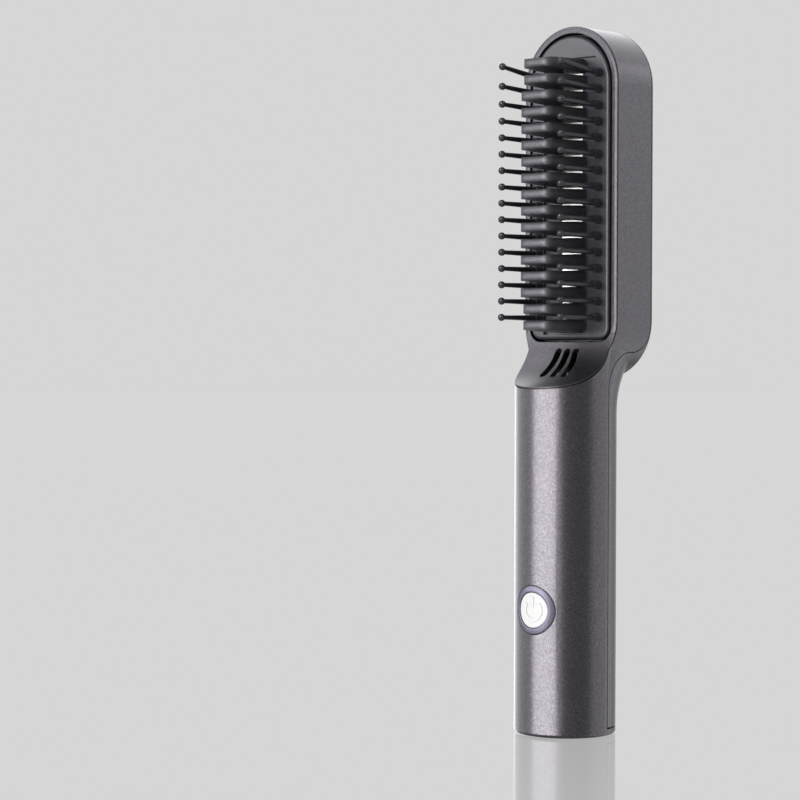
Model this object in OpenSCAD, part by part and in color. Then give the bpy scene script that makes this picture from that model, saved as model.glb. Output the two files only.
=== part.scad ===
// Cordless hair straightening comb: a round handle that carries a flat, stadium-shaped
// head with heated teeth and two rows of ball-tipped guard pins. Millimetres, +Z up the
// handle, the teeth point to -Y, and the origin is the centre of the flat rest face.

/* [Overall] */
// Height from the rest face to the top of the head
total_h = 240; // [232:1:260]
// Diameter of the round handle
handle_d = 34.6; // [34:0.2:37]
// Wall of the handle shells
handle_wall = 2; // [1.6:0.1:2.2]
// Rounding of the edge at the foot of the handle
foot_fillet = 1.2; // [0.6:0.1:1.8]
// Thickness of the floor that closes the foot
floor_t = 2.3; // [2:0.1:3.2]
// Open slit between the foot and the lower edge of the rear cover
foot_slit = 0.6; // [0.3:0.1:0.8]

/* [Head] */
// Width of the head across the comb
head_w = 40; // [38.6:0.2:44]
// Thickness of the head from the face to the back
head_t = 20.5; // [19.5:0.5:24]
// How far the face of the head lies behind the handle axis
face_set = 2; // [1:0.25:3]
// Height of the centre of the round lower end of the head
head_low_z = 140.3; // [138.5:0.1:141]
// Side wall of the head
head_wall = 2; // [1.6:0.1:2.4]
// Rounding of the back edge of the head
back_fillet = 1.1; // [0.5:0.1:1.3]
// Radius of the bend that carries the handle into the back of the head
flare_r = 20; // [18:1:30]
// Height at which that bend starts
flare_z = 108.7; // [108:0.1:110]

/* [Parting lines] */
// Distance of the side seam behind the handle axis
seam_y = 1.5; // [0.5:0.25:3]
// Height of the level stretch of the seam under the head
seam_top_z = 129.4; // [128.5:0.1:130.5]
// Radius of the lower bend of the seam
seam_low_r = 12.8; // [10:0.2:14]
// Radius of the upper bend of the seam
seam_high_r = 5.5; // [4:0.5:6.5]
// Part of the back edge that belongs to the rear cover
cover_edge = 1.5; // [1.4:0.1:1.8]
// Thickness of the rear cover behind the comb
cover_t = 2; // [1.9:0.1:2.6]
// Gap that shows as the seam
seam_gap = 0.25; // [0.15:0.05:0.3]
// Length of the locating lip inside the seam of the handle
seam_lip = 1.5; // [1:0.25:2.5]
// Thickness of that lip
seam_lip_t = 1; // [0.8:0.1:1.3]

/* [Front frame] */
// Width of the rim around the comb
rim_w = 2.2; // [1.9:0.1:2.6]
// Thickness of the frame plate
frame_t = 1.6; // [1.4:0.1:2]
// Thickness of the frame at its outer edge, below the bevel
rim_t = 0.4; // [0.35:0.05:0.8]
// Width of the shallow bevel along the outer edge of the frame
bevel_w = 0.95; // [0.5:0.05:1.2]
// Depth of that bevel
bevel_d = 0.3; // [0.2:0.05:0.35]
// Dark gap between the frame and the shell
shadow_gap = 0.35; // [0.3:0.05:0.6]
// Depth of that gap
shadow_depth = 0.8; // [0.6:0.1:1]
// Height of the lower edge of the recess for the comb
recess_low_z = 132.8; // [132.4:0.1:134]
// Corner radius at the lower end of the recess
recess_corner = 5; // [4.2:0.2:7]
// Radius of the hollow between the handle and the face
scoop_r = 25.8; // [24:0.2:30]
// Height at which the hollow meets the front of the handle
scoop_foot_z = 117.6; // [116:0.2:118.4]
// Height at which the hollow meets the face of the head
scoop_top_z = 130.7; // [129.5:0.1:131.4]
// Radius that eases the hollow into the face of the head
blend_r = 16; // [12:0.5:20]
// Number of vent slots
slot_n = 3; // [1:1:3]
// Width of one vent slot
slot_w = 2.6; // [1.8:0.1:2.8]
// Length of one vent slot
slot_len = 13.2; // [9:0.2:13.6]
// Spacing of the vent slots
slot_pitch = 4.2; // [3.8:0.1:4.6]
// Turn of the slots along the hollow, below level
slot_turn = 45; // [42:1:48]
// Angle by which neighbouring slots spread towards their lower ends
slot_spread = 4.4; // [0:0.2:5]
// Distance of the two frame screws from the middle
frame_screw_x = 8.6; // [8:0.2:10]

/* [Comb base] */
// How far the bed between the rows of pins lies behind the face
bed_set = 0.8; // [0.5:0.1:1.5]
// How far the border of the bed, which carries the pins, stands in front of the face
border_ahead = 0.5; // [0:0.1:0.8]
// Rounding along the outer edge of that border
border_fillet = 1.2; // [0.5:0.1:1.4]
// Width of the groove around the bed
groove_w = 0.8; // [0.6:0.1:1.2]
// Depth of that groove below the bed
groove_d = 4.2; // [3.6:0.1:5]
// Wall of the raised bed
bed_wall = 1.1; // [0.9:0.1:1.3]
// Thickness of the bed where the pins pass
bed_t = 1.6; // [1.4:0.1:2]
// Thickness of the flange that the bed stands on
flange_t = 1.5; // [1.2:0.1:2]
// Thickness of the ledge in the shell that carries the flange
ledge_t = 1.5; // [1.4:0.1:2]
// Width of that ledge along the sides of the head
ledge_w = 2.2; // [1.9:0.1:2.4]
// Width of the window over the heater plate
window_w = 9.2; // [8.4:0.2:11]

/* [Teeth] */
// Distance from the top of the head to the middle of the highest tooth
tooth_top_gap = 13.75; // [13.6:0.05:16]
// Spacing of the teeth and of the guard pins
row_pitch = 5.5; // [5.3:0.05:5.6]
// Height of the middle of the lowest tooth
tooth_low_z = 138.25; // [138:0.05:139]
// Reach of the teeth in front of the handle axis
tooth_reach = 17.8; // [15:0.1:20]
// Width of a tooth at its root
tooth_root_w = 13.4; // [12:0.2:14.5]
// Width of a tooth at its front
tooth_front_w = 13; // [10:0.2:13.4]
// Width at the front of the two highest and the two lowest teeth
tooth_end_w = 11.8; // [10:0.2:13.4]
// How far those four teeth stay behind the others
tooth_end_back = 0.7; // [0:0.1:1.5]
// Thickness of a tooth at its root
tooth_root_t = 4.8; // [4:0.1:4.9]
// Thickness of a tooth at its front
tooth_front_t = 3; // [2.4:0.1:3.4]
// Rounding of the long edges of the nose of a tooth
nose_edge_r = 1; // [0.6:0.1:1.1]
// Thickness of the tongue that seats a tooth in the heater plate
tongue_t = 2.4; // [1.8:0.1:3]
// Depth of the tongue in the heater plate
tongue_d = 2.6; // [2:0.1:3]

/* [Guard pins] */
// Distance between the two rows of pins
pin_span = 25.6; // [25.2:0.1:26]
// Distance of the ball centres in front of the handle axis
pin_reach = 18.8; // [16:0.2:21]
// Diameter of the ball tip
ball_d = 2.5; // [2:0.1:3]
// Diameter of the pin behind its ball
pin_tip_d = 1.45; // [1.2:0.05:1.8]
// Diameter of the pin at its collar
pin_root_d = 2; // [1.8:0.05:2.4]
// Diameter of the collar on the border of the bed
collar_d = 3; // [2.6:0.1:3.4]
// Distance from the bed to the front end of the collar
collar_len = 4.6; // [3:0.2:6]
// Diameter of the shank that passes through the bed
shank_d = 1.9; // [1.6:0.1:2.1]
// Upward splay of the top pair of pins
top_splay = 7; // [0:1:9]

/* [Heater] */
// Thickness of the heater plate behind the bed
plate_t = 2.5; // [2:0.1:3]
// Width of the heater plate
plate_w = 22; // [21:0.2:22.4]
// Width of the ceramic heater
heater_w = 14; // [12:0.5:14.5]
// Distance from the ends of the comb window to the ends of the ceramic heater
heater_inset = 5.65; // [5:0.05:14]
// Thickness of the ceramic heater
heater_t = 2.2; // [1.8:0.1:3]
// Thickness of the insulating sheet
mica_t = 0.5; // [0.3:0.1:0.8]
// Thickness of the spring steel clamp
clamp_t = 0.8; // [0.6:0.1:1]
// Distance from the ends of the ceramic heater to the arms of the clamp
clamp_inset = 9; // [7:0.5:14]
// Diameter of the temperature sensor
sensor_d = 2; // [1.6:0.1:2.4]
// Diameter of the thermal fuse
fuse_d = 2.4; // [2:0.1:2.6]
// Length of the thermal fuse
fuse_len = 9; // [7:0.5:11]

/* [Battery] */
// Space between the control board and the cradle, for the screw heads
cell_gap = 1.65; // [1.5:0.05:3]
// Length of the rechargeable cell
cell_len = 70.2; // [65:0.1:70.6]
// Height of the lower end of the cell
cell_z = 20.4; // [20:0.2:22]
// Wall of the cradle around the cell
cradle_t = 1; // [0.8:0.1:1.2]
// Thickness of the end plates of the cradle
cradle_end_t = 1.2; // [1:0.1:1.6]
// Thickness of the welded terminal strips
tab_t = 0.3; // [0.2:0.05:0.4]
// Width of the terminal strips
tab_w = 6; // [4:0.5:8]

/* [Board] */
// Depth of the front of the control board below the surface of the handle
board_deep = 7.1; // [6.8:0.1:7.3]
// Thickness of the control board
board_t = 1.2; // [1:0.1:1.6]
// Space between the long edges of the board and the wall
board_side = 1.4; // [1.2:0.1:3]
// Height of the lower edge of the board
board_z = 3.4; // [3.2:0.1:4.5]
// Reach of the board above the top of the cell
board_over = 0.8; // [0.4:0.1:2]
// Width of the charging socket
usb_w = 9; // [8.8:0.1:9.2]
// Thickness of the charging socket
usb_t = 3.3; // [3.1:0.1:3.4]
// Length of the charging socket
usb_len = 7.4; // [6.8:0.1:8]

/* [Power button] */
// Height of the middle of the power button
button_z = 42.7; // [36:0.1:50]
// Diameter of the button cap
cap_d = 11.8; // [10:0.1:12.2]
// Height of the curved cap above the surface of the handle
cap_proud = 0.1; // [0:0.05:0.4]
// Thickness of the cap
cap_t = 2.4; // [2:0.1:2.6]
// Outer diameter of the ring around the button
ring_d = 16.4; // [15.8:0.1:17]
// Height of the inner edge of the ring above the surface of the handle
ring_proud = 0.4; // [0.2:0.05:0.6]
// Travel of the button
button_travel = 0.4; // [0.2:0.05:0.5]
// Size of the tactile switch
switch_w = 6; // [5.5:0.1:6.2]
// Height of the body of the tactile switch
switch_h = 3.5; // [3:0.1:3.6]
// Diameter of the switch plunger
plunger_d = 3.4; // [2.6:0.1:3.6]

/* [Screws and clearances] */
// Diameter of the shell screws
screw_d = 2.5; // [2.2:0.1:2.6]
// Diameter of the head of the shell screws
screw_head_d = 4.4; // [4:0.1:4.6]
// Diameter of the small screws for comb, frame, clamp and board
small_d = 1.8; // [1.6:0.1:2]
// Diameter of the head of the small screws
small_head_d = 3.2; // [3:0.1:3.4]
// Gap around a cell, board or cover that is fitted loosely
slip = 0.15; // [0.1:0.05:0.2]
// Gap around the moving button cap
cap_gap = 0.25; // [0.2:0.05:0.3]
// Gap between a screw and its hole
thread_gap = 0.05; // [0.05:0.01:0.1]

/* [Hidden] */
$fn = 48;
eps = 0.2;
far = 80;
// How far ribs, bosses and pads run into the wall that carries them
bite = 0.5;

handle_r = handle_d / 2;
bore_r = handle_r - handle_wall;
head_r = head_w / 2;
head_in_r = head_r - head_wall;
head_high_z = total_h - head_r;
face_y = face_set;
back_y = face_y + head_t;
cover_y = back_y - cover_edge;
cover_in_y = back_y - cover_t;

// Bend of the handle into the back of the head: the bend axis runs along X, and the bend
// runs on for a few degrees inside the head
flare_d = handle_r + flare_r;
flare_turn = acos((flare_d - back_y) / flare_r) + 8;

// Centre of the hollow, from its two end points and its radius
scoop_dy = face_y + handle_r;
scoop_dz = scoop_top_z - scoop_foot_z;
scoop_chord = sqrt(scoop_dy * scoop_dy + scoop_dz * scoop_dz);
scoop_rise = sqrt(scoop_r * scoop_r - scoop_chord * scoop_chord / 4);
scoop_y = (face_y - handle_r) / 2 - scoop_rise * scoop_dz / scoop_chord;
scoop_z = (scoop_top_z + scoop_foot_z) / 2 + scoop_rise * scoop_dy / scoop_chord;

// Centre of the easing arc, which touches the face and the hollow from the front
blend_y = face_y - blend_r;
blend_run = scoop_r - blend_r;
blend_z = scoop_z - sqrt(blend_run * blend_run - (blend_y - scoop_y) * (blend_y - scoop_y));
blend_turn = atan2(blend_z - scoop_z, blend_y - scoop_y);
face_ahead = 2;

// Comb base, from the bed back to the ledge in the shell
recess_r = head_r - rim_w;
bed_y = face_y + bed_set;
border_y = face_y - border_ahead;
bed_back_y = bed_y + bed_t;
flange_y = bed_y + groove_d;
ledge_y = flange_y + flange_t;
ledge_back_y = ledge_y + ledge_t;
tooth_n = floor((total_h - tooth_top_gap - tooth_low_z) / row_pitch + 0.01) + 1;
tooth_high_z = tooth_low_z + (tooth_n - 1) * row_pitch;
tooth_corner = 2.5;
window_low_z = tooth_low_z - row_pitch * 0.3;
window_high_z = tooth_high_z + row_pitch * 0.3;
window_mid_z = (window_low_z + window_high_z) / 2;
plate_margin = 0.4;
channel_x = (pin_span - collar_d) / 2 - 0.1;
channel_low_z = tooth_low_z - tooth_root_t / 2 - 0.5;
channel_high_z = tooth_high_z + tooth_root_t / 2 + 0.5;

// Heater stack behind the bed
plate_y = bed_y + 0.4;
plate_back_y = bed_back_y + plate_t;
heater_back_y = plate_back_y + heater_t;
mica_back_y = heater_back_y + mica_t;
clamp_back_y = mica_back_y + clamp_t;
clamp_foot_w = 3;
clamp_foot_x = plate_w / 2 - clamp_foot_w / 2 - 0.2;
clamp_screw_x = clamp_foot_x + 0.3;
clamp_arm_w = 6;
clamp_bar_w = 7;
terminal_x = 3;
terminal_w = 3;
terminal_t = 0.4;
terminal_len = 2.6;
sensor_len = 5;
fuse_wire_d = 0.8;
fuse_wire_len = 4;
sensor_x = plate_w / 2 - 1.8;
heater_len = window_high_z - window_low_z - 2 * heater_inset;
heater_low_z = window_mid_z - heater_len / 2;
clamp_span = heater_len - 2 * clamp_inset;
lead_end_y = plate_back_y + 1;
sensor_y = plate_back_y + sensor_d / 2;

// Handle inside
board_set = handle_r - board_deep;
board_y = -board_set;
board_back_y = board_y + board_t;
board_w = 2 * (sqrt(bore_r * bore_r - board_set * board_set) - board_side);
cell_d = bore_r - 2 * slip - (board_back_y + cell_gap + cradle_t + slip);
cell_r = cell_d / 2;
cell_y = bore_r - cell_r - 2 * slip;
cell_top_z = cell_z + cell_len;
board_top_z = cell_top_z + board_over;
cell_fillet = 0.6;
cell_cap_d = 8;
cell_cap_h = 0.8;
cradle_side = 3.4;
connector_w = 11.6;
connector_t = 3.4;
connector_h = 6.4;
connector_z = board_top_z - connector_h - 0.6;
socket_w = 2;
socket_z = board_top_z - 2.1 * socket_w;
rail_t = 1.2;
rail_x = board_w / 2 + slip;
rail_h = 4;
rail_z = button_z - 2 * rail_h;
tab_leg = 4;
chip_w = 5;
chip_h = 1.2;
coil_w = 4.4;
coil_h = 2.6;
lead_start_z = board_top_z - 1.8 * socket_w;
lead_bend_z = board_top_z + 2.8;
lead_d = 1.4;
sensor_lead_d = 0.8;
lead_x = 4.4;
neck_lead_x = 6.4;
neck_lead_y = seam_y + 4.4;
lead_y = board_y - 1.8;
sensor_lead_x = 1.6;
usb_y = board_back_y + usb_t / 2;
usb_low_z = 0.6;
usb_gap = 0.4;
usb_wall = 0.35;
usb_tongue_t = 0.7;
upstand_t = 1;
upstand_z = floor_t + foot_slit + 1.2;

// Power button stack, from the front of the handle inwards
cap_front_y = -handle_r - cap_proud;
cap_back_y = cap_front_y + cap_t;
cap_flange_t = 0.6;
cap_flange_w = 1;
ring_in_d = cap_d + 2 * cap_gap;
ring_crown = ring_proud * ring_d * ring_d / (ring_d * ring_d - ring_in_d * ring_in_d);
ring_drop = handle_r - sqrt(handle_r * handle_r - ring_d * ring_d / 4) + ring_crown;
ring_side_r = (ring_d * ring_d / 4 + ring_drop * ring_drop) / (2 * ring_drop);
ring_long_r = ring_d * ring_d / 8 / ring_crown;
ring_step_y = cap_back_y - 0.05;
ring_seat_y = cap_back_y + cap_flange_t + button_travel + 0.35;
switch_front_y = board_y - switch_h;
plunger_front_y = switch_front_y - button_travel - 0.2;
button_floor_t = 1.2;
button_boss_r = ring_d / 2 + 1.2;
ring_pocket_d = ring_d + 0.3;
symbol_h = 0.15;
symbol_r = 4;
symbol_line = 1.4;
symbol_gap = 48;
symbol_bar = [1.7, 3.95];
pusher_r = 1.6;
switch_hole_r = switch_w * 0.77;
led_size = [2, 0.8, 1.2];
led_gap = 1.3;

// Places of the screws, measured from the walls and edges beside them
foot_screw_rise = 11;
neck_screw_rise = 10;
top_screw_gap = 3;
side_screw_x = 10.6;
side_screw_drop = 1.2;
top_comb_screw_x = 6.6;
top_comb_screw_rise = 10.6;
low_comb_screw_x = 5.2;
low_comb_screw_drop = 1.5;
frame_screw_rise = 3.4;
board_screw_gap = 2;
shell_boss_wall = 1.35;
small_boss_wall = 0.9;
screw_seat_t = 2;
neck_seat_t = 0.8;
head_h = 1.2;
shell_grip = 7;
comb_grip = 2.6;
frame_grip = 3.8;
clamp_grip = 1.6;
board_grip = 3;

// Shell screws: place across, height, seat of the head
shell_boss_r = screw_d / 2 + shell_boss_wall;
foot_screw_z = floor_t + foot_screw_rise;
shell_screws = [
  [0, head_high_z + head_in_r - shell_boss_r - top_screw_gap, back_y - screw_seat_t],
  [-side_screw_x, recess_low_z - side_screw_drop, back_y - screw_seat_t],
  [side_screw_x, recess_low_z - side_screw_drop, back_y - screw_seat_t],
  [0, cell_top_z + neck_screw_rise, bore_r - screw_seat_t - neck_seat_t],
  [0, foot_screw_z, bore_r - screw_seat_t - neck_seat_t]
];
shell_web = 1.5;
shell_thread = 8;
comb_screws = [
  [-top_comb_screw_x, head_high_z + top_comb_screw_rise],
  [top_comb_screw_x, head_high_z + top_comb_screw_rise],
  [-low_comb_screw_x, recess_low_z - low_comb_screw_drop],
  [low_comb_screw_x, recess_low_z - low_comb_screw_drop]
];
small_boss_r = small_d / 2 + small_boss_wall;
board_boss_r = small_boss_r + 0.4;
frame_screw_z = scoop_foot_z + frame_screw_rise;
bridge_y = -1.5;
bridge_t = 1.5;
bridge_below = 5.4;
bridge_above = 2.6;
bridge_low_z = frame_screw_z - bridge_below;
bridge_high_z = frame_screw_z + bridge_above;
frame_thread = 4.2;
board_thread = 3.4;
rivet_w = 0.25;
rivet_t = 0.7;
tongue_inset = 0.6;
// Cross bar of the ledge at its lower end, and where the sides of the ledge meet at the top
bar_below = 3.6;
bar_above = 1.8;
ledge_top_rise = 8.2;
flange_tab_w = 16;
flange_tab_h = 3.4;
bar_low_z = recess_low_z - bar_below;
bar_high_z = recess_low_z + bar_above;
ledge_top_z = head_high_z + ledge_top_rise;
board_screws = [cell_z + tab_leg + small_head_d / 2 + board_screw_gap, (button_z + connector_z) / 2];

// Extrudes a Y-Z drawing across X
module along_x(w) {
  rotate([90, 0, 90]) linear_extrude(height = w, center = true) children();
}

// Extrudes an X-Z drawing from y0 to y1
module along_y(y0, y1) {
  translate([0, y1, 0]) rotate([90, 0, 0]) linear_extrude(height = y1 - y0) children();
}

// Cylinder along Y at (x, z)
module rod_y(x, z, r, y0, y1) {
  translate([x, y1, z]) rotate([90, 0, 0]) cylinder(r = r, h = y1 - y0);
}

// Box from one corner to the opposite corner
module block(a, b) {
  translate(a) cube([b[0] - a[0], b[1] - a[1], b[2] - a[2]]);
}

// Rectangle from the axis to r, with its two outer corners rounded
module edge_profile(r, y0, y1, f0, f1) {
  translate([0, y0 + f0]) square([r, y1 - y0 - f0 - f1]);
  translate([0, y0]) square([r - f0, f0 + 0.1]);
  translate([0, y1 - f1 - 0.1]) square([r - f1, f1 + 0.1]);
  if (f0 > 0) translate([r - f0, y0 + f0]) circle(f0);
  if (f1 > 0) translate([r - f1, y1 - f1]) circle(f1);
}

// Outline of the head, drawn in X-Z
module stadium(r) {
  translate([0, head_high_z]) circle(r);
  translate([0, head_low_z]) circle(r);
  translate([-r, head_low_z]) square([2 * r, head_high_z - head_low_z]);
}

// Solid head with a bevel along its front edge
module bevelled_head(r, y0, y1) {
  drawing = [[0, y0], [r - bevel_w, y0], [r, y0 + bevel_d], [r, y1], [0, y1]];
  for (z = [head_low_z, head_high_z])
    translate([0, 0, z]) rotate([-90, 0, 0]) rotate_extrude() polygon(drawing);
  translate([0, 0, head_low_z]) linear_extrude(height = head_high_z - head_low_z) {
    polygon(drawing);
    mirror([1, 0]) polygon(drawing);
  }
}

// Solid head with rounded front and back edges
module head_solid(r, y0, y1, f0, f1) {
  for (z = [head_low_z, head_high_z])
    translate([0, 0, z]) rotate([-90, 0, 0]) rotate_extrude() edge_profile(r, y0, y1, f0, f1);
  translate([0, 0, head_low_z]) linear_extrude(height = head_high_z - head_low_z) {
    edge_profile(r, y0, y1, f0, f1);
    mirror([1, 0]) edge_profile(r, y0, y1, f0, f1);
  }
}

// Round handle with its rounded foot, up to the middle of the head's lower end
module handle_solid(r) {
  rotate_extrude() edge_profile(r, 0, head_low_z, foot_fillet, 0);
}

// Bent pipe that leads the back of the handle into the back of the head
module flare_solid(r, y1) {
  intersection() {
    translate([0, flare_d, flare_z]) rotate([90, 0, -90])
      rotate_extrude(angle = flare_turn) translate([flare_d, 0]) circle(r);
    block([-far, 0, flare_z], [far, y1, head_low_z]);
  }
}

// Space in front of the face and the hollow, drawn in Y-Z and pushed back by d
module air(d) {
  reach = 1.3 * (blend_r + d);
  difference() {
    union() {
      intersection() {
        translate([scoop_y, scoop_z]) circle(scoop_r + d, $fn = 96);
        translate([-far, 0]) square([far + face_y + d, scoop_z]);
      }
      translate([-far, scoop_z - 0.1]) square([far + face_y + d, total_h]);
    }
    translate([blend_y, blend_z]) difference() {
      polygon([[0, 0], [reach, 0], [reach * cos(blend_turn), reach * sin(blend_turn)]]);
      circle(blend_r + d, $fn = 96);
    }
  }
}

// Everything behind the seam, drawn in Y-Z, kept back by g
module rear_region(g) {
  low_y = seam_y + seam_low_r;
  low_z = seam_top_z - seam_low_r;
  high_y = cover_y - seam_high_r;
  high_z = seam_top_z + seam_high_r;
  translate([seam_y + g, -1]) square([far, low_z + 1]);
  translate([low_y, low_z]) circle(seam_low_r - g);
  translate([low_y, low_z - 0.1]) square([far, seam_low_r + 0.1 - g]);
  difference() {
    translate([high_y, seam_top_z - g - 0.1]) square([far, seam_high_r + g + 0.1]);
    translate([high_y, high_z]) circle(seam_high_r + g);
    translate([high_y - 1, high_z - 0.05]) square([seam_high_r + g + 1, 1]);
  }
  translate([cover_y + g, high_z - 0.1]) square([far, total_h]);
}

// Outline of the recess for the comb, drawn in X-Z and drawn in by d
module recess(d) {
  r = recess_r - d;
  c = recess_corner - d;
  low_z = recess_low_z + d;
  translate([0, head_high_z]) circle(r);
  translate([-r, low_z + c]) square([2 * r, head_high_z - low_z - c]);
  translate([-r + c, low_z]) square([2 * (r - c), c + 0.1]);
  for (s = [-1, 1]) translate([s * (r - c), low_z + c]) circle(c);
}

// Cavity of both shells, with the head open in front and up to y1 behind
module cavity(y1) {
  translate([0, 0, floor_t]) cylinder(r = bore_r, h = head_low_z - floor_t);
  along_y(face_y - 1, y1) stadium(head_in_r);
  flare_solid(bore_r, cover_in_y);
}

// Pilot holes and bosses of the shell screws in the front shell
module shell_bosses() {
  for (s = shell_screws) {
    start = s[1] > scoop_top_z ? ledge_y : -bore_r - bite;
    rod_y(s[0], s[1], shell_boss_r, start, s[2] - shell_web);
  }
}

module shell_pilots() {
  for (s = shell_screws)
    rod_y(s[0], s[1], screw_d / 2 + thread_gap, s[2] - shell_web - shell_thread,
      s[2] - shell_web + eps);
}

// Ledge that carries the comb base, with its lower cross bar
module comb_ledge() {
  along_y(ledge_y, ledge_back_y) difference() {
    stadium(head_in_r + bite);
    translate([-far, 0]) square([2 * far, bar_low_z]);
    translate([ledge_w - head_in_r, bar_high_z])
      square([2 * (head_in_r - ledge_w), ledge_top_z - bar_high_z]);
  }
}

// Bridge across the neck that holds the frame screws
module neck_bridge() {
  intersection() {
    block([-far, bridge_y, bridge_low_z], [far, bridge_y + bridge_t, bridge_high_z]);
    cylinder(r = bore_r + bite, h = total_h);
  }
}

module front_shell() color("#5d5962") difference() {
  union() {
    difference() {
      union() {
        handle_solid(handle_r);
        head_solid(head_r, face_y, back_y, 0, back_fillet);
        flare_solid(handle_r, back_y);
      }
      cavity(back_y + 1);
    }
    comb_ledge();
    neck_bridge();
    intersection() {
      union() {
        shell_bosses();
        for (z = board_screws) rod_y(0, z, board_boss_r, -bore_r - bite, board_y);
        rod_y(0, button_z, button_boss_r, -bore_r - bite, ring_seat_y + button_floor_t);
        for (s = [-1, 1])
          block([s * rail_x - rail_t / 2, -bore_r, rail_z],
            [s * rail_x + rail_t / 2, board_y, rail_z + rail_h]);
      }
      union() {
        cylinder(r = bore_r + bite, h = total_h);
        along_y(ledge_y, back_y) stadium(head_in_r + bite);
      }
    }
    // Upstand inside the foot that backs the slit under the rear cover
    difference() {
      cylinder(r = bore_r - slip, h = upstand_z);
      cylinder(r = bore_r - slip - upstand_t, h = far);
      block([-far, -far, 0], [far, seam_y - seam_lip - 0.5, far]);
    }
  }
  along_x(2 * far) air(rim_t + shadow_gap);
  intersection() {
    along_x(2 * far) air(frame_t);
    union() {
      cylinder(r = handle_r - shadow_depth, h = head_low_z);
      along_y(face_y - 1, back_y) stadium(head_r - shadow_depth);
    }
  }
  difference() {
    along_x(2 * far) rear_region(0);
    cylinder(r = far, h = floor_t);
    difference() {
      cylinder(r = bore_r - slip, h = upstand_z);
      cylinder(r = bore_r - slip - upstand_t, h = far);
    }
    shell_bosses();
  }
  shell_pilots();
  rod_y(0, button_z, ring_pocket_d / 2, -far, ring_seat_y);
  rod_y(0, button_z, switch_hole_r, -far, board_y);
  for (z = board_screws) rod_y(0, z, small_d / 2 + thread_gap, board_y - board_thread, board_y + eps);
  for (s = comb_screws)
    rod_y(s[0], s[1], small_d / 2 + thread_gap, ledge_y - eps, ledge_back_y + eps);
  for (s = [-1, 1])
    rod_y(s * frame_screw_x, frame_screw_z, small_d / 2 + thread_gap, bridge_y - eps,
      bridge_y + bridge_t + eps);
  usb_opening();
}

// Rounded opening in the floor for the charging socket
module usb_opening() {
  w = usb_w + usb_gap;
  t = usb_t + usb_gap;
  translate([0, usb_y, -1]) linear_extrude(height = floor_t + 2) {
    square([w - t, t], center = true);
    for (s = [-1, 1]) translate([s * (w - t) / 2, 0]) circle(t / 2);
  }
}

module rear_cover() color("#55515b") difference() {
  union() {
    intersection() {
      union() {
        difference() {
          union() {
            handle_solid(handle_r);
            head_solid(head_r, face_y, back_y, 0, back_fillet);
            flare_solid(handle_r, back_y);
          }
          cavity(cover_in_y);
        }
        intersection() {
          for (s = shell_screws)
            rod_y(s[0], s[1], shell_boss_r + 0.9, s[2] - shell_web, back_y);
          union() {
            cylinder(r = bore_r + bite, h = total_h);
            along_y(face_y, cover_in_y + bite) stadium(head_in_r);
          }
        }
      }
      along_x(2 * far) rear_region(seam_gap);
      block([-far, -far, floor_t + foot_slit], [far, far, total_h + 1]);
    }
    // Plug that centres the back plate inside the side walls of the head
    along_y(cover_in_y, cover_y + seam_gap + 0.1) intersection() {
      stadium(head_in_r - slip);
      translate([-far, seam_top_z - 4]) square([2 * far, total_h]);
    }
    // Locating lip inside the seam of the handle
    translate([0, 0, floor_t + foot_slit + 2]) linear_extrude(height = flare_z - floor_t - 8)
      for (s = [-1, 1]) intersection() {
        difference() {
          union() {
            circle(bore_r - slip);
            intersection() {
              circle(bore_r + 0.4);
              translate([-far, seam_y + seam_gap]) square([2 * far, far]);
            }
          }
          circle(bore_r - slip - seam_lip_t);
        }
        translate([s > 0 ? 0 : -far, seam_y - seam_lip]) square([far, seam_lip + 2.2]);
      }
  }
  for (s = shell_screws) {
    rod_y(s[0], s[1], screw_head_d / 2 + 0.2, s[2], far);
    rod_y(s[0], s[1], screw_d / 2 + slip, s[2] - shell_web - eps, far);
  }
}

// Bosses behind the hollow for the frame screws
module frame_bosses() {
  for (s = [-1, 1]) rod_y(s * frame_screw_x, frame_screw_z, small_boss_r, -bore_r, bridge_y);
}

module vent_slots() {
  for (i = [0 : slot_n - 1]) {
    side = i - (slot_n - 1) / 2;
    translate([side * slot_pitch, scoop_y, scoop_z])
      rotate([-slot_turn, 0, 0]) translate([0, scoop_r, 0]) rotate([90, -side * slot_spread, 0])
        linear_extrude(height = 9, center = true) {
          square([slot_w, slot_len - slot_w], center = true);
          for (s = [-1, 1]) translate([0, s * (slot_len - slot_w) / 2]) circle(slot_w / 2);
        }
  }
}

module front_frame() color("#6b6770") difference() {
  union() {
    intersection() {
      union() {
        handle_solid(handle_r);
        bevelled_head(head_r, face_y, back_y);
        along_y(face_y - face_ahead, face_y + bevel_d) intersection() {
          stadium(head_r);
          translate([-head_r, 0]) square([2 * head_r, blend_z]);
        }
      }
      along_x(2 * far) air(rim_t);
    }
    intersection() {
      union() {
        cylinder(r = handle_r - shadow_depth - slip, h = head_low_z);
        along_y(face_y, back_y) stadium(head_r - shadow_depth - slip);
        }
      along_x(2 * far) air(frame_t);
    }
    frame_bosses();
  }
  along_x(2 * far) air(0);
  along_y(face_y - face_ahead, back_y) recess(0);
  vent_slots();
  for (s = [-1, 1])
    rod_y(s * frame_screw_x, frame_screw_z, small_d / 2 + thread_gap, bridge_y - frame_thread,
      bridge_y + eps);
}

// Bosses in the comb base for its four screws
module comb_bosses() {
  for (s = comb_screws)
    rod_y(s[0], s[1], small_boss_r, s[1] > head_high_z ? bed_back_y - 0.2 : bed_back_y, ledge_y);
}

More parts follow.
